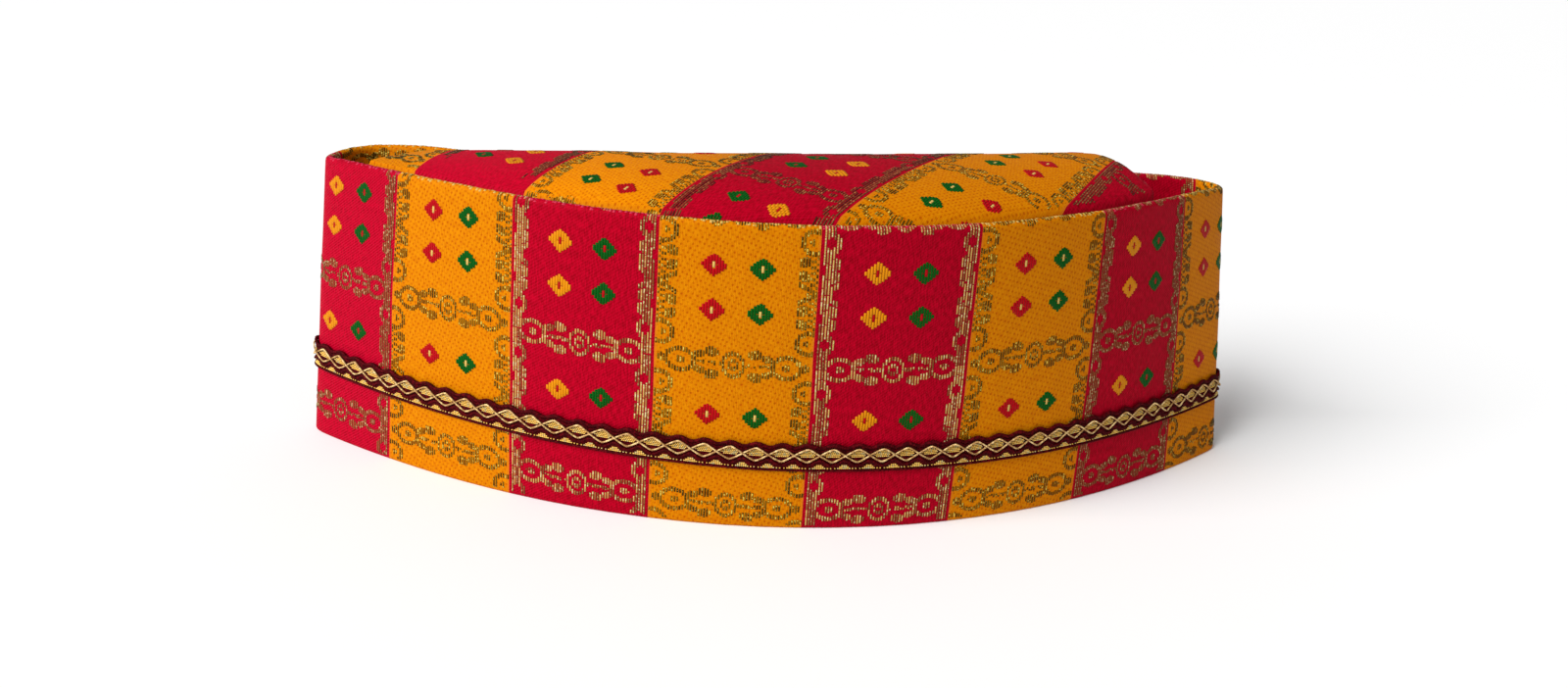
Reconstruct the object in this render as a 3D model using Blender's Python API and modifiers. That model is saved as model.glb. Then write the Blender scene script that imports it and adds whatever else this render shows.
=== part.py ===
"""Embroidered topi cap: a tall folded cuff band, a boat shaped crown inside it, and a braid trim.

Metres, +Z up. The band stands on its hem at z = 0, the long way of the cap runs along X and the
front wall bows towards -Y. The origin is under the middle of the whole cap.
"""

import bmesh
import bpy
import numpy as np

# Plan of the band, measured to the middle of its wall. The cap folds flat, so at every height its
# plan is a bowed front wall and a nearly straight rear wall that meet in two creased tips.
hem_half_length = 0.1370      # from the middle to a creased tip, along the floor
rim_half_length = 0.1302      # the same along the top fold
rim_slide = 0.0008            # the rim stands this much further to the right than the hem
hem_front_bow = 0.0535        # how far the front wall stands out from the line between the tips
rim_front_bow = 0.0640
hem_rear_bow = 0.0040         # how far the rear wall stands back from that line
rim_rear_bow = 0.0120
hem_left_tip_y = -0.0145      # where the tips stand, from the line that the cap is drawn about
hem_right_tip_y = -0.0115
rim_left_tip_y = -0.0100
rim_right_tip_y = 0.0050
tip_softness = 0.0070         # length of wall over which each crease is rounded
tip_drop = 0.0022             # the rim sinks this much at its tips

# Heights and cloth
cap_height = 0.0810
band_wall = 0.0024            # two layers of brocade and their interlining, folded over at the rim
fold_rounding = 0.0008        # at the rim's fold and the hem
upright_edge = 0.0015         # this much of the wall at the hem and at the rim stands upright
crown_wall = 0.0015
crown_clearance = 0.0005      # between the crown's side and the inside of the band
crown_hem_height = 0.0040     # the crown's side is sewn in this far above the floor
crown_seat = 0.0012           # the crown's edge lies this far under the rim
crown_rise = 0.0095           # highest point of the crown over its edge
crown_ridge_back = 0.55       # where the ridge runs, as a share of the way from front to rear

# Braid trim sewn round the band
braid_width = 0.0080
braid_wall = 0.0012
braid_clearance = 0.0003
braid_height = 0.0214         # its middle, over the floor

# How round the meshes are
stations_per_wall = 44
even_share = 0.15             # of the spacing round a loop; the rest gathers it towards the tips
end_stations = 3
fine_steps = 400

# The rear wall bulges behind the left crease and stays flatter elsewhere. Shares of the half
# length and of the rear bow.
REAR_SHAPE = {
    "along": (-1.00, -0.96, -0.90, -0.80, -0.55, 0.00, 0.55, 0.85, 0.96, 1.00),
    "bow":   (0.00, 0.75, 1.05, 0.40, 0.25, 0.35, 0.40, 0.55, 0.50, 0.00),
}

# The crown fills the band but for a pocket at each end. Shares of the half length at which its
# front and rear edges stop.
CROWN_ENDS = {
    "level":       ("hem", "rim"),
    "front_left":  (-0.93, -0.885),
    "rear_left":   (-0.91, -0.790),
    "front_right": (0.93, 0.740),
    "rear_right":  (0.91, 0.655),
}

# The crown's height along its ridge, and across it from its edge to the ridge, as shares.
CROWN_RIDGE = {
    "along": (-1.00, -0.85, -0.60, -0.20, 0.20, 0.60, 0.88, 1.00),
    "rise":  (0.10, 0.30, 0.50, 0.74, 0.86, 0.96, 1.00, 0.90),
}
CROWN_PROFILE = {
    "inward": (0.00, 0.05, 0.18, 0.40, 0.68, 1.00),
    "rise":   (0.00, 0.20, 0.46, 0.75, 0.94, 1.00),
}
ridge_reach = 0.94            # the ridge stops short of the crown's ends by the rest


def between(hem_value, rim_value, height_share):
    return hem_value + (rim_value - hem_value) * height_share


def front_wall(x_share, height_share):
    """A point on the front wall's middle surface, in plan, and its slope there."""
    half = between(hem_half_length, rim_half_length, height_share)
    bow = between(hem_front_bow, rim_front_bow, height_share)
    chord, chord_slope = tip_line(x_share, height_share)
    y = chord - bow * (1 - x_share ** 2)
    return rim_slide * height_share + x_share * half, y, chord_slope + 2 * bow * x_share / half


def rear_wall(x_share, height_share):
    """A point on the rear wall's middle surface, in plan, and its slope there."""
    half = between(hem_half_length, rim_half_length, height_share)
    bow = between(hem_rear_bow, rim_rear_bow, height_share)
    chord, chord_slope = tip_line(x_share, height_share)
    step = 0.02
    shape = np.interp([x_share - step, x_share, x_share + step],
                      REAR_SHAPE["along"], REAR_SHAPE["bow"])
    slope = chord_slope + bow * (shape[2] - shape[0]) / (2 * step * half)
    return rim_slide * height_share + x_share * half, chord + bow * shape[1], slope


def tip_line(x_share, height_share):
    """The line between the two tips: its y at a share of the half length, and its slope."""
    half = between(hem_half_length, rim_half_length, height_share)
    left = between(hem_left_tip_y, rim_left_tip_y, height_share)
    right = between(hem_right_tip_y, rim_right_tip_y, height_share)
    return (left + right) / 2 + (right - left) / 2 * x_share, (right - left) / (2 * half)


def gathered(count):
    """Shares from 0 to 1 that lie closer together towards both ends."""
    even = np.arange(count + 1) / count
    return even_share * even + (1 - even_share) * (1 - np.cos(np.pi * even)) / 2


def spread_along(points, count):
    """Points along an open line, closer together towards both of its ends."""
    steps = np.hypot(*np.diff(points, axis=0).T)
    lengths = np.concatenate([[0.0], np.cumsum(steps)])
    wanted = lengths[-1] * gathered(count)
    return np.stack([np.interp(wanted, lengths, points[:, axis]) for axis in (0, 1)], axis=1)


def soften(loop, reach):
    """Round a closed line: each point becomes the mean of its neighbours within the reach."""
    spacing = np.hypot(*(np.roll(loop, -1, axis=0) - loop).T).mean()
    side = max(1, round(reach / spacing / 2))
    return sum(np.roll(loop, shift, axis=0) for shift in range(-side, side + 1)) / (2 * side + 1)


def even_points(points, count):
    """Points evenly spaced along an open line."""
    steps = np.hypot(*np.diff(points, axis=0).T)
    lengths = np.concatenate([[0.0], np.cumsum(steps)])
    wanted = np.linspace(0.0, lengths[-1], count + 1)
    return np.stack([np.interp(wanted, lengths, points[:, axis]) for axis in (0, 1)], axis=1)


def band_loop(height_share, outset=0.0):
    """One closed loop round the cap, moved outwards from the middle of the band's wall."""
    shares = np.linspace(-1.0, 1.0, fine_steps + 1)
    front = np.array([front_wall(share, height_share)[:2] for share in shares])
    rear = np.array([rear_wall(share, height_share)[:2] for share in shares[::-1]])
    fine = np.concatenate([even_points(front, fine_steps)[:-1], even_points(rear, fine_steps)[:-1]])
    fine = soften(soften(fine, tip_softness), tip_softness)
    closed = np.concatenate([fine, fine[:1]])
    walls = (closed[:fine_steps + 1], closed[fine_steps:])
    loop = np.concatenate([spread_along(wall, stations_per_wall)[:-1] for wall in walls])
    ahead = np.roll(loop, -1, axis=0) - np.roll(loop, 1, axis=0)
    outward = np.stack([ahead[:, 1], -ahead[:, 0]], axis=1)
    return loop + outset * outward / np.hypot(*outward.T)[:, None]


def plan_centre():
    """The middle of the whole cap in plan, at its widest outer surfaces."""
    braid_share = braid_height / cap_height
    braid_outset = band_wall / 2 + braid_clearance + braid_wall
    edge_share = upright_edge / cap_height
    loops = [band_loop(share, band_wall / 2) for share in (edge_share, 1 - edge_share)]
    loops += [band_loop(braid_share + side * braid_width / 2 / cap_height, braid_outset)
              for side in (-1, 1)]
    points = np.concatenate(loops)
    return (points.min(axis=0) + points.max(axis=0)) / 2


def band_ring(height_share, outset, height):
    """One ring of points round the cap, which sinks a little at the tips near the rim."""
    loop = band_loop(height_share, outset)
    reach = np.abs(loop[:, 0]) / np.abs(loop[:, 0]).max()
    sink = tip_drop * height / cap_height * reach ** 8
    return np.column_stack([loop - plan_centre(), height - sink])


def crown_loop(height_share):
    """A loop inside the band that stops short of its tips, with a blunt facet at each end."""
    inset = band_wall / 2 + crown_clearance + crown_wall / 2
    ends = {name: between(*CROWN_ENDS[name], height_share)
            for name in CROWN_ENDS if name != "level"}
    front, rear = [], []
    for share in gathered(stations_per_wall):
        x, y, slope = front_wall(between(ends["front_left"], ends["front_right"], share),
                                 height_share)
        front.append((x, y + inset * np.hypot(1, slope)))
        x, y, slope = rear_wall(between(ends["rear_left"], ends["rear_right"], share),
                                height_share)
        rear.append((x, y - inset * np.hypot(1, slope)))
    front, rear = np.array(front), np.array(rear)
    facet = np.arange(1, end_stations + 1)[:, None] / (end_stations + 1)
    right = front[-1] + (rear[-1] - front[-1]) * facet
    left = rear[0] + (front[0] - rear[0]) * facet
    return np.concatenate([front, right, rear[::-1], left]) - plan_centre(), front, rear


def crown_ridge(front, rear):
    """For each point of the crown's edge, the point of the ridge above it, and its height."""
    share = crown_ridge_back
    line = (front * (1 - share) + rear * share) - plan_centre()
    middle = line.mean(axis=0)
    line[:, 0] = middle[0] + (line[:, 0] - middle[0]) * ridge_reach
    along = 2 * gathered(stations_per_wall) - 1
    rise = crown_rise * np.interp(along, CROWN_RIDGE["along"], CROWN_RIDGE["rise"])
    ridge = np.column_stack([line, rise])
    right = np.repeat(ridge[-1:], end_stations, axis=0)
    left = np.repeat(ridge[:1], end_stations, axis=0)
    return np.concatenate([ridge, right, ridge[::-1], left])


def loft(name, rings, welded=False):
    """An open cloth surface through rings of points, from the first to the last."""
    bm = bmesh.new()
    rows = [[bm.verts.new(point) for point in ring] for ring in rings]
    for lower, upper in zip(rows, rows[1:]):
        for here in range(len(lower)):
            there = (here + 1) % len(lower)
            bm.faces.new((lower[here], lower[there], upper[there], upper[here]))
    if welded:
        bmesh.ops.remove_doubles(bm, verts=rows[-1], dist=0.00002)
        thin = [face for face in bm.faces if face.calc_area() < 1e-12]
        bmesh.ops.delete(bm, geom=thin, context="FACES")
    bm.normal_update()
    mesh = bpy.data.meshes.new(name)
    bm.to_mesh(mesh)
    bm.free()
    mesh.shade_smooth()
    mesh.set_sharp_from_angle(angle=np.radians(50))
    return bpy.data.objects.new(name, mesh)


def make_cloth(thing, wall, rounding=0.0):
    """Give an open surface its thickness, half to each side, and soften its edges."""
    solid = thing.modifiers.new("cloth thickness", "SOLIDIFY")
    solid.thickness = wall
    solid.offset = 0.0
    solid.use_even_offset = True
    if rounding:
        bevel = thing.modifiers.new("soft edges", "BEVEL")
        bevel.width = rounding
        bevel.segments = 2
        bevel.use_clamp_overlap = False
        bevel.limit_method = "ANGLE"
        bevel.angle_limit = np.radians(60)


def cuff_band():
    plan_heights = np.linspace(upright_edge, cap_height - upright_edge, 5)
    heights = [0.0, *plan_heights, cap_height]
    plan_heights = [plan_heights[0], *plan_heights, plan_heights[-1]]
    rings = [band_ring(plan / cap_height, 0.0, height)
             for plan, height in zip(plan_heights, heights)]
    band = loft("cuff_band", rings)
    make_cloth(band, band_wall, fold_rounding)
    return band


def crown():
    edge_height = cap_height - crown_seat
    side_heights = np.linspace(crown_hem_height, edge_height, 5)
    rings = []
    for height in side_heights:
        loop, front, rear = crown_loop(height / cap_height)
        rings.append(np.column_stack([loop, np.full(len(loop), height)]))
    ridge = crown_ridge(front, rear)
    for inward, rise in list(zip(CROWN_PROFILE["inward"], CROWN_PROFILE["rise"]))[1:]:
        plan = loop + (ridge[:, :2] - loop) * inward
        rings.append(np.column_stack([plan, edge_height + ridge[:, 2] * rise]))
    top = loft("crown", rings, welded=True)
    make_cloth(top, crown_wall)
    return top


def braid_trim():
    outset = band_wall / 2 + braid_clearance + braid_wall / 2
    heights = braid_height + braid_width * np.linspace(-0.5, 0.5, 3)
    rings = [band_ring(height / cap_height, outset, height) for height in heights]
    braid = loft("braid_trim", rings)
    make_cloth(braid, braid_wall, braid_wall / 5)
    return braid


def cloth_material(name, colour, roughness, metallic=0.0):
    material = bpy.data.materials.new(name)
    material.use_nodes = True
    shader = material.node_tree.nodes["Principled BSDF"]
    shader.inputs["Base Color"].default_value = (*colour, 1.0)
    shader.inputs["Roughness"].default_value = roughness
    shader.inputs["Metallic"].default_value = metallic
    material.diffuse_color = (*colour, 1.0)
    return material


def main():
    for thing in list(bpy.data.objects):
        bpy.data.objects.remove(thing, do_unlink=True)
    cap = bpy.data.collections.new("embroidered_topi_cap")
    bpy.context.scene.collection.children.link(cap)
    pieces = (
        (cuff_band(), cloth_material("red brocade", (0.50, 0.01, 0.04), 0.75)),
        (crown(), cloth_material("yellow brocade", (0.80, 0.28, 0.01), 0.75)),
        (braid_trim(), cloth_material("gold braid", (0.62, 0.34, 0.12), 0.45, 0.6)),
    )
    for piece, material in pieces:
        piece.data.materials.append(material)
        cap.objects.link(piece)


main()
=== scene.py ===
import math

import bpy
import numpy as np
from mathutils import Matrix, Vector, noise
from mathutils.bvhtree import BVHTree


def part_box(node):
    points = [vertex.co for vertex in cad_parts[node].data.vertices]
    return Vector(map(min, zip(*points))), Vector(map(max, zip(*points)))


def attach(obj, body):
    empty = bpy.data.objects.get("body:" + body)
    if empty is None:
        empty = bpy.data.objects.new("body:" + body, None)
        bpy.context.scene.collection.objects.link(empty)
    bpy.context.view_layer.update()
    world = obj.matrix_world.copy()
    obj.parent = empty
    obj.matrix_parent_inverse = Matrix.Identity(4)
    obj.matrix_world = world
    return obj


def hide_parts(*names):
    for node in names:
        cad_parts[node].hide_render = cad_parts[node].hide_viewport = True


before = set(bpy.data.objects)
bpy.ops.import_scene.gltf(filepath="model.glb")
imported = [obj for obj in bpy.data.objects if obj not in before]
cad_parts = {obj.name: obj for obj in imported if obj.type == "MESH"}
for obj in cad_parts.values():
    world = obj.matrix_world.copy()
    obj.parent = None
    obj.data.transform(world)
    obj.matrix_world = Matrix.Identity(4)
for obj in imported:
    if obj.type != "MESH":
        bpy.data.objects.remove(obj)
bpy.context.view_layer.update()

mm = 0.001
bpy.context.scene.view_settings.view_transform = "Standard"

# The cloth is woven in cells: stripes of red and yellow across, and a motif that repeats down
# each stripe. Lengths on the cloth are in millimetres, and v runs down from the rim's fold.
cloth = {
    "stripeWidth": 40.0,
    "motifRepeat": 39.0,
    "firstBar": -3.6,         # v of the first row of ornament
    "leftCrease": -151.0,     # u of the creases, from a stripe's edge near the middle of the front
    "rightCrease": 148.0,
    "seam": 284.0,            # u of the plain seam at the back, coming from the right
    "roundTheCap": 571.0,
    "threadPitch": 0.714,
    "braidHeight": 21.4,      # of the braid's middle over the floor
}

# The stripes lie a little off an even spacing along the front wall. Shifts to the right.
drift = {
    "u":      (-275.0, -151.0, -133.0, -120.0, -80.0, -40.0, 0.0, 40.0, 80.0, 120.0, 148.0, 275.0),
    "rim":    (0.0, 4.6, 4.4, 2.9, -0.4, -2.6, -4.5, -3.1, -1.7, -2.6, -2.6, 0.0),
    "middle": (0.0, 3.0, 2.7, 1.6, 0.0, -1.5, -2.5, -1.5, -0.8, -1.2, -1.2, 0.0),
    "hem":    (0.0, 1.6, 1.5, 0.8, 0.5, -0.8, -0.8, -0.7, -0.6, -1.0, -1.0, 0.0),
    "rowStep": 40.0,          # v from the rim to the middle, and on to the hem
}

# How far the pattern and the braid lie lower than an even height.
sink = {
    "u": (-287, -200, -151, -110, -88, -62, -40, -15, 25, 65, 105, 148, 166, 284),
    "pattern": (5.0, -2.0, -3.1, -2.9, -2.7, -0.9, -0.3, 0.7, 1.3, 0.4, 0.6, 1.0, 5.0, 5.0),
    "braid": (0.0, -1.5, -2.3, -1.5, -1.1, -0.6, -0.1, 0.5, 0.8, 0.9, 1.0, 1.3, 1.0, 0.0),
}


def sinkAt(u, what="pattern"):
    return np.interp(u, sink["u"], sink[what])


def driftAt(u, v):
    rim, middle, hem = (np.interp(u, drift["u"], drift[row]) for row in ("rim", "middle", "hem"))
    down = np.clip(np.asarray(v) / drift["rowStep"], 0.0, 2.0)
    return np.where(down < 1, rim + (middle - rim) * down, middle + (hem - middle) * (down - 1))


def braidDown(u):
    # v of the braid's middle.
    return capHeight - cloth["braidHeight"] + sinkAt(u, "braid")


def searchTree(name):
    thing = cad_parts[name]
    place = thing.matrix_world
    corners = [place @ vertex.co for vertex in thing.data.vertices]
    return BVHTree.FromPolygons(corners, [face.vertices[:] for face in thing.data.polygons])


def fallOn(tree, x, y):
    # Where a plumb line from above meets the piece, and the way out of it there.
    return tree.ray_cast(Vector((x, y, 0.2)), Vector((0, 0, -1)))[:2]


def atShares(line, shares):
    # Points at shares of a line's length.
    steps = np.hypot(*np.diff(line, axis=0).T)
    lengths = np.concatenate([[0.0], np.cumsum(steps)])
    wanted = np.asarray(shares) * lengths[-1]
    return np.stack([np.interp(wanted, lengths, line[:, axis]) for axis in (0, 1)], axis=1)


def evenly(line, count):
    return atShares(line, np.linspace(0.0, 1.0, count))


def outlineAt(tree, height, smoothing, rays=2880, spacing=0.5):
    # The solid's outer outline at a height, from the left end round by the front.
    loop = []
    for angle in np.linspace(math.pi, 3 * math.pi, rays, endpoint=False):
        aim = Vector((math.cos(angle), math.sin(angle), 0.0))
        hit = tree.ray_cast(aim * 0.4 + Vector((0.0, 0.0, height)), -aim)[0]
        loop.append(hit[:2])
    loop = np.array(loop)
    loop = np.vstack([loop, loop[:1]])
    around = np.hypot(*np.diff(loop, axis=0).T).sum()
    even = evenly(loop, round(around / (spacing * mm)) + 1)[:-1]
    side = max(1, round(smoothing / spacing / 2))
    for _ in range(2):
        even = sum(np.roll(even, shift, axis=0) for shift in range(-side, side + 1)) / (2 * side + 1)
    return np.roll(even, -even[:, 0].argmin(), axis=0)


def clothNoise(u, v, size, seed):
    return noise.noise(Vector((u / size, v / size, seed)))


def newMesh(name, corners, faces=(), edges=()):
    mesh = bpy.data.meshes.new(name)
    mesh.from_pydata(np.asarray(corners).tolist(), edges, faces)
    return mesh


def inScene(name, data):
    thing = bpy.data.objects.new(name, data)
    bpy.context.collection.objects.link(thing)
    return thing


def settle(thing):
    # Keeps the plain mesh that the thing's modifier makes.
    plain = bpy.data.meshes.new_from_object(thing.evaluated_get(bpy.context.evaluated_depsgraph_get()))
    thing.modifiers.clear()
    thing.data = plain
    plain.name = thing.name
    return plain


def ringFaces(rings, count, closed=True):
    # Squares between rings of corners, and from the last ring to the first where closed.
    def corner(ring, step):
        return ring % rings * count + step % count

    return [(corner(ring, step), corner(ring, step + 1),
             corner(ring + 1, step + 1), corner(ring + 1, step))
            for ring in range(rings if closed else rings - 1) for step in range(count)]


band = {
    "wall": 2.4,              # mm
    "hemRounding": 0.7,
    "rowSpacing": 2.0,
    "foldSteps": 10,
    "columnSpacing": 1.6,
    "creaseSpacing": 0.5,
    "creaseReach": 9.0,
    "smoothing": 2.5,
    "waves": 0.22,            # how far the cloth wavers in and out
    "waveSize": 26.0,
    "rimWaves": 0.22,
    "seamGroove": 0.55,
    "seamWidth": 1.3,
    "seamReach": 3.0,         # where the columns lie closer, beside the seam
    "seamBlend": 12.0,        # where the wavering dies out, beside the seam
    "plans": 6,
    "lowestPlan": 3.0,        # over the hem
    "highestPlan": 4.0,       # below the rim
    "beyondPlans": 0.6,       # steps that the shape goes on past them
}
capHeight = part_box("cuff_band")[1].z / mm


def bandColumns():
    left, right, reach = cloth["leftCrease"], cloth["rightCrease"], band["creaseReach"]
    start, stop = cloth["seam"] - cloth["roundTheCap"], cloth["seam"]
    near = band["seamReach"]
    stops = [start, start + near, left - reach, left + reach, right - reach, right + reach,
             stop - near, stop]
    spacing = [band["creaseSpacing"], band["columnSpacing"]] * 4
    columns = []
    for low, high, step in zip(stops, stops[1:], spacing):
        columns.append(np.linspace(low, high, max(2, round((high - low) / step)), endpoint=False))
    return np.concatenate(columns + [[stop]])


def bandProfile():
    # One turn round the wall, from the hem up the outside, over the fold and down the inside.
    wall, rounding, fold = band["wall"], band["hemRounding"], band["wall"] / 2
    rows = [(0.0, wall / 2), (0.0, rounding), (0.3 * rounding, 0.3 * rounding)]
    count = round((capHeight - fold - rounding) / band["rowSpacing"])
    rows += [(z, 0.0) for z in np.linspace(rounding, capHeight - fold, count)]
    for step in range(1, band["foldSteps"]):
        turn = math.pi * step / band["foldSteps"]
        rows.append((capHeight - fold + fold * math.sin(turn), fold * (1 - math.cos(turn))))
    rows += [(z, wall) for z in np.linspace(capHeight - fold, rounding, count)]
    rows += [(0.3 * rounding, wall - 0.3 * rounding), (0.0, wall - rounding), (0.0, wall / 2)]
    rows = np.array(rows)
    travelled = np.concatenate([[0.0], np.cumsum(np.hypot(*np.diff(rows, axis=0).T))])
    topOfOutside = np.argmax(rows[:, 0] >= capHeight - fold - 1e-9)
    v = travelled[topOfOutside] + fold - travelled
    return rows, v


def bandSurface():
    tree = searchTree("cuff_band")
    columns = bandColumns()
    rows, v = bandProfile()
    left, right, around = cloth["leftCrease"], cloth["rightCrease"], cloth["roundTheCap"]
    frontShare = (columns - left) / (right - left)
    rearShare = np.where(columns > right, columns - right, columns + around - right)
    rearShare = rearShare / (around - (right - left))
    onFront = (columns >= left) & (columns <= right)
    heights = np.linspace(band["lowestPlan"], capHeight - band["highestPlan"], band["plans"])
    plans, normals = [], []
    for height in heights:
        loop = outlineAt(tree, height * mm, band["smoothing"])
        far = loop[:, 0].argmax()
        front, rear = loop[:far + 1], np.vstack([loop[far:], loop[:1]])
        plan = np.where(onFront[:, None], atShares(front, frontShare.clip(0, 1)),
                        atShares(rear, rearShare.clip(0, 1)))
        ahead = np.gradient(plan, axis=0)
        ahead[0] = ahead[-1] = plan[1] - plan[-2]
        outward = np.stack([ahead[:, 1], -ahead[:, 0]], axis=1)
        plans.append(plan)
        normals.append(outward / np.hypot(*outward.T)[:, None])
    plans, normals = np.array(plans), np.array(normals)

    def planAt(z):
        beyond = band["beyondPlans"]
        place = (z - heights[0]) / (heights[1] - heights[0])
        place = np.clip(place, -beyond, len(heights) - 1 + beyond)
        low = int(np.clip(math.floor(place), 0, len(heights) - 2))
        share = place - low
        plan, normal = (rows[low] * (1 - share) + rows[low + 1] * share for rows in (plans, normals))
        return plan, normal / np.hypot(*normal.T)[:, None]

    plan, normal = planAt(capHeight)
    rim = []
    for x, y in plan - normal * band["wall"] / 2 * mm:
        hit, _ = fallOn(tree, x, y)
        rim.append(hit.z / mm if hit is not None and hit.z > 0.07 else capHeight)
    rim = np.array(rim)
    rim = np.convolve(np.pad(rim, 4, mode="wrap"), np.ones(9) / 9, mode="valid")
    rim += [band["rimWaves"] * clothNoise(u, 0.0, 17.0, 3.1) for u in columns]
    grid = np.zeros((len(rows), len(columns), 3))
    seam = np.minimum(columns - columns[0], columns[-1] - columns)
    groove = band["seamGroove"] * np.exp(-(seam / band["seamWidth"]) ** 2)
    blend = np.clip(seam / band["seamBlend"], 0, 1)
    for row, (z, inset) in enumerate(rows):
        plan, normal = planAt(z)
        swell = [band["waves"] * clothNoise(u, z, band["waveSize"], 7.7) for u in columns]
        out = np.array(swell) * blend * math.sin(math.pi * min(1.0, 0.15 + z / capHeight) * 0.8)
        out = out - inset - groove * (1 - 2 * inset / band["wall"])
        grid[row, :, :2] = plan + normal * out[:, None] * mm
        grid[row, :, 2] = z * mm * (1 + (rim / capHeight - 1) * (z / capHeight) ** 2)
    grid[:, -1] = grid[:, 0] = (grid[:, -1] + grid[:, 0]) / 2
    grid[-1] = grid[0]
    return grid, columns, v


def gridNormals(grid):
    across = np.gradient(grid, axis=1)
    upward = np.gradient(grid, axis=0)
    across[:, 0] = across[:, -1] = grid[:, 1] - grid[:, -2]
    normals = np.cross(across, upward)
    return normals / np.linalg.norm(normals, axis=2, keepdims=True).clip(1e-12)


def uvLayer(mesh, name, values):
    layer = mesh.uv_layers.get(name) or mesh.uv_layers.new(name=name)
    layer.data.foreach_set("uv", np.asarray(values, dtype=np.float32).ravel())


def makeBand(grid, columns, v):
    rowCount, columnCount = grid.shape[0] - 1, grid.shape[1] - 1
    mesh = newMesh("bandCloth", grid[:-1, :-1].reshape(-1, 3), ringFaces(rowCount, columnCount))
    row, column = np.divmod(np.arange(rowCount * columnCount), columnCount)
    u = columns[column[:, None] + (0, 1, 1, 0)].ravel()
    down = v[row[:, None] + (0, 0, 1, 1)].ravel()
    woven = u - driftAt(u - driftAt(u, down), down)
    uvLayer(mesh, "cloth", np.stack([woven / cloth["stripeWidth"],
            (down - sinkAt(u) - cloth["firstBar"]) / cloth["motifRepeat"]], axis=1))
    # The bake map has the right half beside the left one, with 1 mm round them.
    onRight = np.repeat(u.reshape(-1, 4).mean(axis=1) > 0, 4)
    tall = 2 * (v[0] - v[-1]) + 6.0
    bake = np.stack([np.where(onRight, u, u - columns[0]) + 1.0,
                     v[0] - down + np.where(onRight, tall / 2, 0.0) + 1.0], axis=1) / tall
    uvLayer(mesh, "OFBake", bake)
    mesh.shade_smooth()
    return inScene("bandCloth", mesh)


print("reading the band")
bandGrid, bandU, bandV = bandSurface()
bandNormal = gridNormals(bandGrid)
bandCloth = makeBand(bandGrid, bandU, bandV)


def onBand(u, v, lift=0.0, drifting=False):
    # Points of the band's cloth at u and v, in metres, and the way out of the cloth there.
    u = np.asarray(u, dtype=float) + (driftAt(u, v) if drifting else 0.0)
    u = (u - bandU[0]) % cloth["roundTheCap"] + bandU[0]
    column = np.interp(u, bandU, np.arange(len(bandU)))
    row = np.interp(-np.asarray(v, dtype=float), -bandV, np.arange(len(bandV)))
    c0 = np.minimum(column.astype(int), len(bandU) - 2)
    r0 = np.minimum(row.astype(int), len(bandV) - 2)
    cs, rs = (column - c0)[..., None], (row - r0)[..., None]

    def pick(field):
        low = field[r0, c0] * (1 - cs) + field[r0, c0 + 1] * cs
        high = field[r0 + 1, c0] * (1 - cs) + field[r0 + 1, c0 + 1] * cs
        return low * (1 - rs) + high * rs

    normal = pick(bandNormal)
    normal = normal / np.linalg.norm(normal, axis=-1, keepdims=True)
    return pick(bandGrid) + normal * np.asarray(lift)[..., None] * mm, normal


crown = {
    "wall": 1.5,
    "alongCount": 150,
    "acrossCount": 30,
    "hemHeight": 4.2,
    "sideRows": 22,
    "edgeRounding": 0.9,
    "smoothing": 2.0,
    "waves": 0.35,
    "waveSize": 30.0,
    # How the woven grid lies in plan: its u and v as sums of powers of x and y, in 0.1 m.
    "powers": ((0, 0), (1, 0), (0, 1), (1, 1), (0, 2), (2, 0), (2, 1), (1, 2), (3, 0)),
    "uTerms": (-1.3294, -2.0433, 1.4712, 0.4949, -0.5879, 0.0332, -0.1309, 0.0779, -0.2456),
    "vTerms": (1.5474, 1.4586, 2.2143, 0.3543, -0.5672, -0.0532, 0.3242, 0.0806, 0.1362),
    "longestFloat": 1.6,
    "inward": 0.012,          # share of the way to the middle where its height is read
    "heightSmoothing": 6,
    "bakeAround": 548.0,      # mm of the side wall on the bake map, in two rows
    "bakeSize": 520.0,
}
crownTree = searchTree("crown")


def crownArcs(height):
    loop = outlineAt(crownTree, height * mm, crown["smoothing"])
    far = loop[:, 0].argmax()
    rearRight, rearLeft = (far + (side * 0.5 * loop[far:, 0] + 0.87 * loop[far:, 1]).argmax()
                           for side in (1, -1))
    long, short = crown["alongCount"], crown["acrossCount"]
    front = evenly(loop[:far + 1], long + 1)
    right = evenly(loop[far:rearRight + 1], short + 1)
    rear = evenly(loop[rearRight:rearLeft + 1], long + 1)
    left = evenly(np.vstack([loop[rearLeft:], loop[:1]]), short + 1)
    return front, right, rear, left


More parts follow.
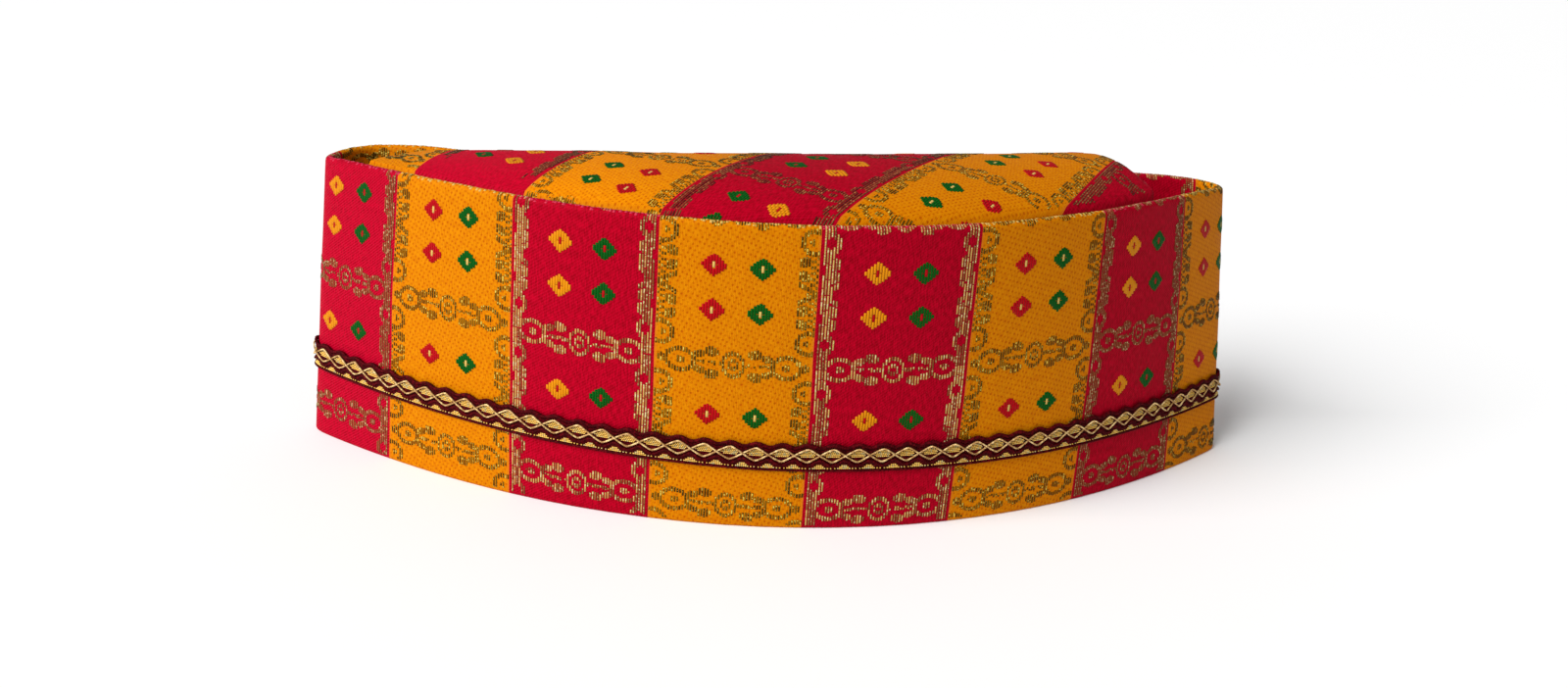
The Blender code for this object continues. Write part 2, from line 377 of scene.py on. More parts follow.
def makeCrown():
    edge = capHeight - 1.2
    long, short = crown["alongCount"], crown["acrossCount"]
    sideHeights = np.linspace(crown["hemHeight"], edge - crown["edgeRounding"], crown["sideRows"])
    corners = []
    for height in sideHeights:
        front, right, rear, left = crownArcs(min(height, edge - 1.0))
        loop = np.vstack([front[:-1], right[:-1], rear[:-1], left[:-1]])
        corners.extend((x, y, height * mm) for x, y in loop)
    ring = 2 * (long + short)
    faces = ringFaces(len(sideHeights), ring, closed=False)
    sideFaces = len(faces)
    middle = (front[0] + front[-1] + rear[0] + rear[-1]) / 4
    s = (np.arange(long + 1) / long)[:, None, None]
    t = (np.arange(short + 1) / short)[None, :, None]
    frontRear = front[:, None] * (1 - t) + rear[::-1, None] * t
    leftRight = left[None, ::-1] * (1 - s) + right[None] * s
    bilinear = ((front[0] * (1 - s) + front[-1] * s) * (1 - t)
                + (rear[-1] * (1 - s) + rear[0] * s) * t)
    plan = frontRear + leftRight - bilinear
    height = np.zeros(plan.shape[:2])
    for spot in np.ndindex(height.shape):
        x, y = plan[spot] + (middle - plan[spot]) * crown["inward"]
        hit, _ = fallOn(crownTree, x, y)
        height[spot] = max(hit.z / mm if hit is not None else edge, edge - 0.2)
    for _ in range(crown["heightSmoothing"]):
        height[1:-1, 1:-1] = (height[:-2, 1:-1] + height[2:, 1:-1] + height[1:-1, :-2]
                              + height[1:-1, 2:] + 2 * height[1:-1, 1:-1]) / 6
    # The top's rim is the side wall's last ring.
    rim = (len(sideHeights) - 1) * ring + np.arange(ring)
    index = len(corners) + np.zeros(height.shape, dtype=int)
    index[1:-1, 1:-1] += np.arange((long - 1) * (short - 1)).reshape(long - 1, short - 1)
    index[:, 0], index[long] = rim[:long + 1], rim[long:long + short + 1]
    index[:, short] = rim[long + short:2 * long + short + 1][::-1]
    index[0, 1:] = rim[2 * long + short:][::-1]
    for i, j in np.ndindex(long - 1, short - 1):
        x, y = plan[i + 1, j + 1]
        wave = crown["waves"] * clothNoise(x / mm, y / mm, crown["waveSize"], 1.3)
        corners.append((x, y, (height[i + 1, j + 1] + wave) * mm))
    top = np.stack([index[:-1, :-1], index[1:, :-1], index[1:, 1:], index[:-1, 1:]], axis=-1)
    mesh = newMesh("crownCloth", corners, faces + top.reshape(-1, 4).tolist())
    return inScene("crownCloth", mesh), sideFaces, ring


def crownCell(x, y):
    powers = np.stack([(x * 10) ** i * (y * 10) ** j for i, j in crown["powers"]], axis=-1)
    return powers @ crown["uTerms"], powers @ crown["vTerms"]


def crownPlan(u, v):
    # Where in plan places of the woven grid lie, found by steps of its nearly even slope.
    slope = np.array([crown["uTerms"][1:3], crown["vTerms"][1:3]]) * 10
    plan = np.zeros((len(u), 2))
    for _ in range(25):
        miss = np.stack(crownCell(plan[:, 0], plan[:, 1]), axis=1) - np.stack([u, v], axis=1)
        plan = (plan - miss @ np.linalg.inv(slope).T).clip(-0.2, 0.2)
    return plan


def finishCrown(thing, sideFaces, ring):
    # Cloth coordinates, the thickness, and a bake map with the inside beside the outside.
    mesh = thing.data
    place = np.array([vertex.co[:] for vertex in mesh.vertices])
    loops = np.zeros(len(mesh.loops), dtype=int)
    mesh.loops.foreach_get("vertex_index", loops)
    spots = place[loops]
    u, v = crownCell(spots[:, 0], spots[:, 1])
    onSide = np.arange(len(loops)) < sideFaces * 4
    edge = capHeight * mm
    away = (edge - spots[:, 2]) / mm / cloth["motifRepeat"]
    v = np.where(onSide, v + away * 0.8, v)
    u = np.where(onSide, u + away * 0.6, u)
    uvLayer(mesh, "cloth", np.stack([u, v], axis=1))
    half = crown["bakeAround"] / 2
    step = np.arange(ring + 1) * (crown["bakeAround"] / ring)
    within = np.arange(len(loops)) // 4 % ring
    corner = np.arange(len(loops)) % 4
    along = step[np.minimum(within + np.isin(corner, (1, 2)), ring)]
    secondHalf = np.repeat((along > half + 0.5).reshape(-1, 4).all(axis=1), 4)
    sideX = np.where(secondHalf, along - (half - 2.0), along) + 2.0
    sideY = spots[:, 2] / mm + np.where(secondHalf, 80.0, 0.0)
    topX, topY = spots[:, 0] / mm + 136.0, spots[:, 1] / mm + 45.0 + 165.0
    bake = np.stack([np.where(onSide, sideX, topX), np.where(onSide, sideY, topY)], axis=1)
    uvLayer(mesh, "OFBake", bake / crown["bakeSize"])
    outside = len(mesh.polygons)
    solid = thing.modifiers.new("cloth thickness", "SOLIDIFY")
    solid.thickness = crown["wall"] * mm
    solid.offset = -1.0
    solid.use_even_offset = True
    plain = settle(thing)
    values = np.zeros(len(plain.loops) * 2)
    plain.uv_layers["OFBake"].data.foreach_get("uv", values)
    values = values.reshape(-1, 2)
    values[outside * 4:] += (0.0, 0.5)
    uvLayer(plain, "OFBake", values)
    plain.shade_smooth()
    plain.set_sharp_from_angle(angle=math.radians(50))


print("reading the crown")
crownCloth, crownSideFaces, crownRing = makeCrown()
finishCrown(crownCloth, crownSideFaces, crownRing)
crownSkin = BVHTree.FromPolygons([vertex.co[:] for vertex in crownCloth.data.vertices],
                                 [face.vertices[:] for face in crownCloth.data.polygons])


ornament = {
    "jitter": 0.14,
    "shortest": 0.45,
    "longest": 4.5,
    "longestOnFold": 0.7,
    "fold": (-4.0, 2.2),      # v where the cloth turns over at the rim
    "insideEnd": -8.6,        # v where the ornament ends inside
    "margin": 0.9,            # mm left free along the hem and the seam
    "underBraid": 3.2,        # mm on each side of the braid's middle that it covers
    "tucked": (5.0, 34.0),    # ends of the figure that is tucked in at the crown's edge
    "gold": (0.68, 0.20, 0.34),     # width, height, and how much of its width the top keeps
    "silk": (0.74, 0.20, 0.78),
    "lift": 0.02,
    "foldYarns": 0.95,        # mm between the loose yarns along the fold
    # Painted shade: the thread is painted duller towards the ends of the front wall, where it reflects
    # less light.
    "paintedDimU": (-180.0, -150.0, -122.0, -90.0, 32.0, 82.0, 148.0, 180.0),
    "paintedDim": (1.0, 0.3, 0.3, 1.0, 1.0, 0.25, 0.25, 1.0),
    "seed": 11,
}
# The ovals of the figures: middle across and down, half its size across and down, turn in degrees.
figures = {
    "ring": (13.4, 0, 4.15, 3.4),
    "ringHole": (13.4, 0, 2.9, 2.15),
    "ringDot": (13.4, 0, 1.3, 0.9),
    "smallLeaf": (8.5, 2.1, 1.6, 1.05, -15),
    "largeLeaf": (5.5, 3.0, 1.9, 1.35, 10),
    "flower": (0, 0, 3.1, 3.6),
    "flowerHole": (0, 0, 2.1, 2.5),
    "heart": (0, 0, 1.35, 1.7),
    "heartHole": (0, 0, 0.5, 0.6),
    "arch": (1.3, 6.6, 3.7, 3.4),
    "archHole": (1.3, 6.6, 2.5, 2.1),
    "archDot": (1.9, 6.6, 0.7, 0.9),
    "archGap": (2.5, 6.6, 0.9, 1.5),
    "bead": (1.9, 0, 1.1, 1.2),
    "upperLeaf": (3.6, 11.6, 1.8, 1.35, 25),
    "lowerLeaf": (3.6, 15.1, 1.8, 1.35, -25),
    "upperLobe": (3.3, 11.6, 2.0, 1.7, 25),
    "lowerLobe": (3.3, 15.1, 2.0, 1.7, -25),
    "lobeGap": (1.2, 13.3, 0.5, 1.2),
}
diamonds = {
    "down": (13.9, 25.3),
    "across": (14.0, 26.0),
    "halfAcross": 3.3,
    "halfDown": 2.9,
    "roundness": 1.2,
    "eye": (0.6, 0.85),
}


def inside(a, b, figure):
    centreA, centreB, halfA, halfB, *turn = figures[figure]
    c, s = math.cos(math.radians(sum(turn))), math.sin(math.radians(sum(turn)))
    x, y = a - centreA, b - centreB
    return np.hypot((x * c + y * s) / halfA, (y * c - x * s) / halfB) < 1


def barMotif(a, b):
    # The row of ornament across a stripe: a from the stripe's middle, b from the row's middle.
    a, b = np.abs(a), np.abs(b)
    ring = inside(a, b, "ring") & ~inside(a, b, "ringHole") | inside(a, b, "ringDot")
    leaves = inside(a, b, "smallLeaf") | inside(a, b, "largeLeaf")
    link = (b < 0.5) & (a > 3.2) & (a < 9.4)
    flower = inside(a, b, "flower") & ~inside(a, b, "flowerHole")
    heart = inside(a, b, "heart") & ~inside(a, b, "heartHole")
    return ring | leaves | link | flower | heart


def borderMotif(d, t, onRed):
    # The border on each side of a stripe's edge: d from the edge, t down from a row's middle.
    repeat = cloth["motifRepeat"]
    t = np.minimum(t, repeat - t)
    arch = inside(d, t, "arch") & ~inside(d, t, "archHole") | inside(d, t, "archDot")
    stem = (np.abs(t - repeat / 2 + d * 0.5) < 0.75) & (d < 5.0)
    found = arch | stem | inside(d, t, "bead")
    if onRed:
        body = d < 3.5 + 0.4 * np.cos((t - 10.7) * 1.53)
        lobes = inside(d, t, "upperLobe") | inside(d, t, "lowerLobe")
        gaps = inside(d, t, "archGap") | inside(d, t, "lobeGap")
        return (found | body | lobes) & ~gaps & (d > 0.7)
    leaves = inside(d, t, "upperLeaf") | inside(d, t, "lowerLeaf")
    net = np.cos(t * 4.2) * np.cos(d * 2.2) > 0.0
    filling = net & (d < 2.9 + 0.5 * np.cos((t - 11.6) * 1.8)) & (t > 9.6)
    return (found | leaves | filling) & (d > 0.3)


def goldMask(u, t, onRed):
    stripe, repeat = cloth["stripeWidth"], cloth["motifRepeat"]
    d = np.minimum(u, stripe - u)
    b = np.minimum(t, repeat - t)
    return (barMotif(u - stripe / 2, b) & (d > 1.5)) | borderMotif(d, t, onRed)


def silkMask(u, t):
    # 1 for the left diamonds, 2 for the right ones, 3 for their middles.
    found = np.zeros(np.broadcast(u, t).shape, dtype=int)
    for down in diamonds["down"]:
        for kind, across in enumerate(diamonds["across"], 1):
            x, y = np.abs(u - across), np.abs(t - down)
            reach = ((x / diamonds["halfAcross"]) ** diamonds["roundness"]
                     + (y / diamonds["halfDown"]) ** diamonds["roundness"])
            eye = (x / diamonds["eye"][0]) ** 2 + (y / diamonds["eye"][1]) ** 2
            found = np.where(reach < 1, np.where(eye < 1, 3, kind), found)
    return found


def runsOf(values, step):
    # Stretches of one non-zero value: start, end and value.
    changes = np.flatnonzero(np.diff(values)) + 1
    starts = np.concatenate([[0], changes])
    ends = np.concatenate([changes, [len(values)]])
    return [(a * step, b * step, values[a]) for a, b in zip(starts, ends) if values[a]]


def cellThreads(onRed, kind):
    # Every float of one cell: u, start and end down from a row of ornament, and its colour.
    step = 0.08
    t = np.arange(0, cloth["motifRepeat"], step) + step / 2
    count = round(cloth["stripeWidth"] / cloth["threadPitch"])
    found = []
    for thread in range(count):
        u = (thread + 0.5) * cloth["stripeWidth"] / count
        if kind == "gold":
            values = goldMask(np.full_like(t, u), t, onRed).astype(int)
        else:
            values = silkMask(np.full_like(t, u), t)
        found += [(u, start, end, value) for start, end, value in runsOf(values, step)]
    return found


cells = {(onRed, kind): cellThreads(onRed, kind)
         for onRed in (True, False) for kind in ("gold", "silk")}


def hueOf(kind, onRed, value):
    # Gold: 0 on red and 1 on yellow. Silk: 0 green, 1 red, 2 yellow, 3 pale (also painted sheen on the
    # fold), and 4 pink painted sheen on the fold.
    if kind == "gold":
        return float(not onRed)
    if value == 3:
        return 1.0 if onRed else 3.0
    return 0.0 if value == 2 else (2.0 if onRed else 1.0)


def jittered(chance, *ends):
    return [end + chance.uniform(-1, 1) * ornament["jitter"] for end in ends]


def bandThreads(kind):
    chance = np.random.default_rng(ornament["seed"] + (kind == "silk"))
    found = []
    for stripe in range(-8, 8):
        onRed = stripe % 2 == 0
        for row in range(-1, 3):
            for u, start, end, value in cells[onRed, kind]:
                u = stripe * cloth["stripeWidth"] + u
                if not bandU[0] + ornament["margin"] < u < bandU[-1] - ornament["margin"]:
                    continue
                low = cloth["firstBar"] + row * cloth["motifRepeat"] + sinkAt(u)
                start, end = jittered(chance, low + start, low + end)
                start, end = max(start, ornament["insideEnd"]), min(end, capHeight - ornament["margin"])
                covered = ornament["underBraid"]
                if start > braidDown(u) - covered and end < braidDown(u) + covered:
                    continue
                if end - start < ornament["shortest"]:
                    continue
                onFold = start < ornament["fold"][1] and end > ornament["fold"][0]
                longest = ornament["longestOnFold"] if onFold else ornament["longest"]
                parts = max(1, math.ceil((end - start) / longest))
                # The tone is random, and lowered towards the front wall's ends as painted shade.
                tone = chance.uniform(0, 1) * np.interp(u, ornament["paintedDimU"], ornament["paintedDim"])
                for part in range(parts):
                    a = start + (end - start) * part / parts
                    b = start + (end - start) * (part + 1) / parts
                    colour = hueOf(kind, onRed, value)
                    found.append((u, a, b, colour, tone))
    if kind == "silk":
        # Loose yarns along the fold, coloured pale on yellow and pink on red: painted sheen of the
        # fold.
        for u in np.arange(bandU[0] + 1.5, bandU[-1] - 1.5, ornament["foldYarns"]):
            u += chance.uniform(-0.5, 0.5)
            middle = chance.uniform(-1.2, 0.1)
            reach = chance.uniform(0.25, 0.6)
            colour = 3.0 if math.floor(u / cloth["stripeWidth"]) % 2 else 4.0
            found.append((u, middle - reach, middle + reach, colour, chance.uniform(0, 1)))
    return np.array(found)


def crownThreads(kind):
    above, below = ornament["tucked"]
    chance = np.random.default_rng(ornament["seed"] + 5 + (kind == "silk"))
    woven = []
    for stripe in range(-5, 3):
        onRed = stripe % 2 == 0
        for row in range(-2, 5):
            for u, start, end, value in cells[onRed, kind]:
                start, end = jittered(chance, start, end)
                tone = chance.uniform(0, 1)
                tucked = stripe == 0 and (row == 0 and start < above or row == -1 and end > below)
                if end - start < ornament["shortest"] or tucked:
                    continue
                colour = hueOf(kind, onRed, value)
                parts = max(1, math.ceil((end - start) / crown["longestFloat"]))
                stops = row + np.linspace(start, end, parts + 1) / cloth["motifRepeat"]
                woven += [(stripe + u / cloth["stripeWidth"], a, b, colour, tone)
                          for a, b in zip(stops, stops[1:])]
    woven = np.array(woven)
    lower, upper = (crownPlan(woven[:, 0], woven[:, column]) for column in (1, 2))
    found = []
    for *places, colour, tone in zip(lower, upper, woven[:, 3], woven[:, 4]):
        spots = []
        for x, y in places:
            spot, normal = fallOn(crownSkin, x, y)
            if spot is not None and spot.z > (capHeight - 2.2) * mm and normal.z > 0.5:
                spots.append((spot, normal))
        if len(spots) == 2:
            found.append((*spots[0][0], *spots[1][0], *(spots[0][1] + spots[1][1]), colour, tone))
    return np.array(found)


def threadPoints(name, starts, ends, normals, hues, tones):
    # One point for each float, with its turn, size and place on the bake map.
    mesh = newMesh(name, (starts + ends) / 2)
    turns, spans = [], []
    for start, end, normal in zip(starts, ends, normals):
        along = Vector(end - start)
        spans.append((1.0, along.length, 1.0))
        along.normalize()
        out = (Vector(normal) - along * along.dot(Vector(normal))).normalized()
        turns.append(Matrix((along.cross(out), along, out)).transposed().to_euler()[:])
    across = math.ceil(math.sqrt(len(starts)))
    order = np.arange(len(starts))
    patches = np.stack([order % across, order // across, order * 0], axis=1) / across
    for label, values in (("turn", turns), ("span", spans), ("patch", patches),
                          ("hue", hues), ("tone", tones)):
        values = np.asarray(values, dtype=np.float32)
        single = values.ndim == 1
        layer = mesh.attributes.new(label, "FLOAT" if single else "FLOAT_VECTOR", "POINT")
        layer.data.foreach_set("value" if single else "vector", values.ravel())
    return mesh, 1.0 / across


def newTree(name, *sockets):
    # A geometry tree and its named inputs, each given with its kind.
    tree = bpy.data.node_groups.new(name, "GeometryNodeTree")
    for label, kind in (*sockets, ("Thread", "Material")):
        tree.interface.new_socket(label, in_out="INPUT", socket_type="NodeSocket" + kind)
    tree.interface.new_socket("Geometry", in_out="OUTPUT", socket_type="NodeSocketGeometry")
    return tree, tree.nodes.new("NodeGroupInput").outputs


def through(tree, geometry, *nodes):
    # Sends geometry through the nodes one after another.
    for node in nodes:
        tree.links.new(geometry, node.inputs[0])
        geometry = node.outputs[0]
    return geometry


def finishTree(tree, given, geometry, *more):
    real, soft, painted = (tree.nodes.new("GeometryNode" + kind) for kind in (
        "RealizeInstances", "SetShadeSmooth", "SetMaterial"))
    tree.links.new(given["Thread"], painted.inputs["Material"])
    end = tree.nodes.new("NodeGroupOutput")
    tree.links.new(through(tree, geometry, real, *more, soft, painted), end.inputs[0])
    return tree


def newNode(tree, kind, **inputs):
    node = tree.nodes.new(kind)
    for label, value in inputs.items():
        node.inputs[label.replace("_", " ")].default_value = value
    return node


def join(tree, *pairs):
    for start, end in pairs:
        tree.links.new(start, end)


def fill(tree, sockets, values):
    # Links or values for the sockets, in order.
    for value, socket in zip(values, sockets):
        if isinstance(value, bpy.types.NodeSocket):
            tree.links.new(value, socket)
        else:
            socket.default_value = (*value, 1.0) if isinstance(value, tuple) else value


def numberMath(tree, operation, *values):
    node = tree.nodes.new("ShaderNodeMath")
    node.operation = operation
    fill(tree, node.inputs, values)
    return node.outputs[0]


def times(tree, first, second):
    return numberMath(tree, "MULTIPLY", first, second)


def plus(tree, first, second):
    return numberMath(tree, "ADD", first, second)


def vectorMath(tree, operation, first, second):
    node = tree.nodes.new("ShaderNodeVectorMath")
    node.operation = operation
    other = node.inputs["Scale" if operation == "SCALE" else 1]
    fill(tree, (node.inputs[0], other), (first, second))
    return node.outputs[0]


def apart(tree, vector):
    node = tree.nodes.new("ShaderNodeSeparateXYZ")
    tree.links.new(vector, node.inputs[0])
    return node.outputs


def namedField(tree, name):
    field = tree.nodes.new("GeometryNodeInputNamedAttribute")
    field.data_type = "FLOAT_VECTOR"
    field.inputs["Name"].default_value = name
    return field.outputs["Attribute"]


def floatsTree():
    # A low tapered ridge on each point, turned and stretched to be one float of thread.
    tree, given = newTree("threadFloats", ("Points", "Geometry"), ("Ridge Width", "Float"),
                          ("Ridge Height", "Float"), ("Top Share", "Float"), ("Patch Size", "Float"))
    size = newNode(tree, "ShaderNodeCombineXYZ", Y=1.0)
    taper = newNode(tree, "ShaderNodeCombineXYZ", Z=1.0)
    cube, moved, spread = (tree.nodes.new("GeometryNode" + kind) for kind in (
        "MeshCube", "SetPosition", "InstanceOnPoints"))
    place = tree.nodes.new("GeometryNodeInputPosition").outputs[0]
    onTop = numberMath(tree, "GREATER_THAN", apart(tree, place)["Z"], 0.0)

    def atTop(value):
        # 1 at the ridge's foot and the value at its top
        node = tree.nodes.new("ShaderNodeMix")
        node.data_type = "FLOAT"
        fill(tree, (node.inputs[0], *node.inputs[2:4]), (onTop, 1.0, value))
        return node.outputs[0]

    def stored(name, kind, domain, value):
        node = tree.nodes.new("GeometryNodeStoreNamedAttribute")
        node.data_type, node.domain = kind, domain
        node.inputs["Name"].default_value = name
        tree.links.new(value, node.inputs["Value"])
        return node

    join(tree, (given["Ridge Width"], size.inputs["X"]), (given["Ridge Height"], size.inputs["Z"]),
         (size.outputs[0], cube.inputs["Size"]), (atTop(given["Top Share"]), taper.inputs["X"]),
         (atTop(0.9), taper.inputs["Y"]),
         (vectorMath(tree, "MULTIPLY", place, taper.outputs[0]), moved.inputs["Position"]),
         (namedField(tree, "turn"), spread.inputs["Rotation"]),
         (namedField(tree, "span"), spread.inputs["Scale"]))
    ridge = through(tree, cube.outputs["Mesh"],
                    stored("OFBake", "FLOAT2", "CORNER", cube.outputs["UV Map"]),
                    stored("rise", "FLOAT", "POINT", onTop), moved)
    tree.links.new(ridge, spread.inputs["Instance"])
    patch = vectorMath(tree, "SCALE", namedField(tree, "OFBake"), given["Patch Size"])
    patch = vectorMath(tree, "ADD", patch, namedField(tree, "patch"))
    return finishTree(tree, given, through(tree, given["Points"], spread),
                      stored("OFBake", "FLOAT2", "CORNER", patch))


def grown(name, mesh, tree, material, **sizes):
    # Runs a tree on a mesh and keeps the plain mesh that it makes.
    thing = inScene(name, mesh)
    modifier = thing.modifiers.new(name, "NODES")
    modifier.node_group = tree
    sockets = {item.name: item.identifier for item in tree.interface.items_tree
               if item.item_type == "SOCKET" and item.in_out == "INPUT"}
    for label, value in {**sizes, "Thread": material}.items():
        modifier[sockets[label.replace("_", " ")]] = value
    settle(thing)
    return thing


def weave(name, material, ridge, *threads):
    # Floats of thread as one piece; the ridge is width, height and top share.
    mesh, patch = threadPoints(name, *threads)
    width, height, top = ridge
    print(name, len(mesh.vertices), "floats")
    return grown(name, mesh, floats, material, Ridge_Width=width * mm, Ridge_Height=height * mm,
                 Top_Share=top, Patch_Size=patch * 0.9)


def newMaterial(name, roughness, **values):
    material = bpy.data.materials.new(name)
    material.use_nodes = True
    inputs = material.node_tree.nodes["Principled BSDF"].inputs
    for label, value in {"Roughness": roughness, **values}.items():
        inputs[label.replace("_", " ")].default_value = value
    return material, material.node_tree, inputs


def mixColour(tree, factor, first, second):
    node = tree.nodes.new("ShaderNodeMix")
    node.data_type = "RGBA"
    fill(tree, (node.inputs[0], *node.inputs[6:8]), (factor, first, second))
    return node.outputs[2]


def ramp(tree, value, low, high):
    # 0 below low, 1 above high, and smooth between them.
    node = newNode(tree, "ShaderNodeMapRange", From_Min=low, From_Max=high)
    node.interpolation_type = "SMOOTHSTEP"
    tree.links.new(value, node.inputs["Value"])
    return node.outputs[0]


def ownPlace(tree):
    return tree.nodes.new("ShaderNodeTexCoord").outputs["Object"]


def speckle(tree, place, scale, detail=2.0):
    node = newNode(tree, "ShaderNodeTexNoise", Scale=scale, Detail=detail)
    tree.links.new(place, node.inputs["Vector"])
    return node.outputs[0]


def attributes(tree, *names):
    for name in names:
        node = tree.nodes.new("ShaderNodeAttribute")
        node.attribute_name = name
        yield node.outputs["Fac"]


frontGain = 1.6               # how much brighter than its own colour the front wall looks


def seen(red, green, blue):
    # The surface colour that looks like this on the lit front wall.
    return tuple(((c / 255 / 12.92) if c <= 10 else ((c / 255 + 0.055) / 1.055) ** 2.4) / frontGain
                 for c in (red, green, blue))


brocade = {
    "red": seen(216, 0, 40),
    "redShade": seen(170, 0, 22),
    "redPaintedSheen": seen(228, 14, 62),
    "paintedSheen": 0.25,            # painted sheen on the red's raised twill lines
    "paintedSheenOnLeft": 0.5,       # more painted sheen on the far left, where the light falls
    "farLeft": (-0.05, -0.11),      # x where it begins and where it is full
    "yellow": seen(254, 155, 3),
    "yellowShade": seen(241, 136, 0),
    "yellowDot": seen(212, 100, 0),
    "yellowLine": seen(250, 140, 24),
    "line": (0.65, 0.4),      # mm from a stripe's edge where that line fades in
    "twill": 0.85,            # mm between the diagonal lines of the red
    "twillSlant": 0.7,
    "dots": 1.35,             # mm between the dots of the yellow
    "dotSlants": (0.5, 0.35),
    "yarn": 0.42,
    "streaks": (90.0, 20.0, 1.0),
    "bump": 0.05,
    "bumpStrength": 0.6,
    "paintedLightOnTop": 0.3,           # painted light: how much lighter the left of the top is painted
    "top": (0.0795, 0.083),   # z and x where that begins and where it is full
    "topLeft": (0.0, -0.07),
}


def brocadeMaterial():
    material, tree, inputs = newMaterial("brocade", 0.55, Specular_IOR_Level=0.02)
    place = tree.nodes.new("ShaderNodeUVMap")
    place.uv_map = "cloth"
    u, v = apart(tree, place.outputs[0])[:2]
    yellow = numberMath(tree, "FLOORED_MODULO", numberMath(tree, "FLOOR", u), 2.0)
    across = numberMath(tree, "FRACT", u)
    edge = numberMath(tree, "MINIMUM", across, numberMath(tree, "SUBTRACT", 1.0, across))
    edge = times(tree, edge, cloth["stripeWidth"])
    x, y = times(tree, u, cloth["stripeWidth"]), times(tree, v, cloth["motifRepeat"])

    def wave(value, pitch):
        return numberMath(tree, "SINE", times(tree, value, 2 * math.pi / pitch))

    twill = wave(plus(tree, y, times(tree, x, brocade["twillSlant"])), brocade["twill"])
    twill = ramp(tree, twill, -0.6, 0.9)
    slantRow, slantColumn = brocade["dotSlants"]
    dotRow = wave(plus(tree, x, times(tree, y, slantRow)), brocade["dots"])
    dotColumn = wave(numberMath(tree, "SUBTRACT", y, times(tree, x, slantColumn)), brocade["dots"])
    dots = ramp(tree, plus(tree, dotRow, dotColumn), 0.6, 1.5)
    streaks = newNode(tree, "ShaderNodeMapping", Scale=brocade["streaks"])
    tree.links.new(place.outputs[0], streaks.inputs["Vector"])
    patches = speckle(tree, streaks.outputs[0], 1.0, 3.0)
    uneven = ramp(tree, patches, 0.35, 0.65)
    spot = apart(tree, ownPlace(tree))
    # Painted sheen: the red's raised lines are painted pinker, and more so on the far left, where the
    # light falls.
    farLeft = ramp(tree, spot["X"], *brocade["farLeft"])
    paintedSheen = plus(tree, brocade["paintedSheen"], times(tree, brocade["paintedSheenOnLeft"], farLeft))
    red = mixColour(tree, uneven, brocade["redShade"], brocade["red"])
    red = mixColour(tree, times(tree, twill, paintedSheen), red, brocade["redPaintedSheen"])
    golden = mixColour(tree, uneven, brocade["yellowShade"], brocade["yellow"])
    broken = times(tree, dots, ramp(tree, patches, 0.85, 0.3))
    golden = mixColour(tree, broken, golden, brocade["yellowDot"])
    golden = mixColour(tree, ramp(tree, edge, *brocade["line"]), golden, brocade["yellowLine"])
    # Painted light: the left of the top is painted lighter, as the light falls there.
    onTop = times(tree, ramp(tree, spot["Z"], *brocade["top"]),
                  ramp(tree, spot["X"], *brocade["topLeft"]))
    paintedLight = plus(tree, 1.0, times(tree, onTop, brocade["paintedLightOnTop"]))
    colour = vectorMath(tree, "SCALE", mixColour(tree, yellow, red, golden), paintedLight)
    tree.links.new(colour, inputs["Base Color"])
    relief = plus(tree, times(tree, twill, numberMath(tree, "SUBTRACT", 1.0, yellow)),
                  times(tree, dots, times(tree, yellow, -1.0)))
    relief = plus(tree, relief, times(tree, wave(x, brocade["yarn"]), 0.25))
    bump = newNode(tree, "ShaderNodeBump", Strength=brocade["bumpStrength"],
                   Distance=brocade["bump"] * mm)
    join(tree, (relief, bump.inputs["Height"]), (bump.outputs[0], inputs["Normal"]))
    return material


zari = {
    "onRed": seen(242, 194, 106),
    "onRedDull": seen(156, 92, 46),
    "onYellow": seen(156, 112, 12),
    "onYellowDull": seen(84, 58, 2),
    "paintedGlintRed": seen(255, 238, 170),
    "paintedGlintYellow": seen(255, 226, 96),
    "paintedShadeRed": seen(62, 0, 4),
    "paintedShadeYellow": seen(104, 66, 0),
    "specular": 0.06,
    "sparkle": 1500.0,        # painted glints: specks for each metre of thread
    "sparkleFrom": 0.60,      # lower for more of them
}
# Darker colours of the gold thread for the crown's top: painted shade.
shaded = {"onRed": seen(146, 84, 48), "onRedDull": seen(98, 38, 26), "paintedGlintRed": seen(196, 136, 80)}


def zariMaterial(name, **changes):
    look = {**zari, **changes}
    material, tree, inputs = newMaterial(name, 0.4, Specular_IOR_Level=look["specular"])
    hue, tone, rise = attributes(tree, "hue", "tone", "rise")
    dull = mixColour(tree, hue, look["onRedDull"], look["onYellowDull"])
    fair = mixColour(tree, hue, look["onRed"], look["onYellow"])
    paintedGlint = mixColour(tree, hue, look["paintedGlintRed"], look["paintedGlintYellow"])
    # Painted shade: the foot of each float is painted dark, for the shade between the threads.
    paintedGapShade = mixColour(tree, hue, look["paintedShadeRed"], look["paintedShadeYellow"])
    gold = mixColour(tree, ramp(tree, tone, 0.1, 0.8), dull, fair)
    # Painted glints: specks of the thread are painted bright.
    specks = speckle(tree, ownPlace(tree), look["sparkle"], 0.0)
    sparkling = ramp(tree, specks, look["sparkleFrom"], look["sparkleFrom"] + 0.04)
    gold = mixColour(tree, times(tree, sparkling, ramp(tree, tone, -0.2, 0.45)), gold, paintedGlint)
    tree.links.new(mixColour(tree, ramp(tree, rise, 0.5, 0.95), paintedGapShade, gold), inputs["Base Color"])
    return material


silk = {
    "green": seen(0, 98, 18),
    "red": seen(206, 4, 20),
    "yellow": seen(255, 160, 12),
    "paleAndFoldSheen": seen(250, 206, 110),
    "foldSheenPink": seen(240, 64, 96),
    "specular": 0.06,
    "paintedShadeAndTone": 0.62,            # painted shade of a float's foot, the painted light that its height adds, and the random tone that chance adds
    "riseGain": 0.34,
    "toneGain": 0.10,
}


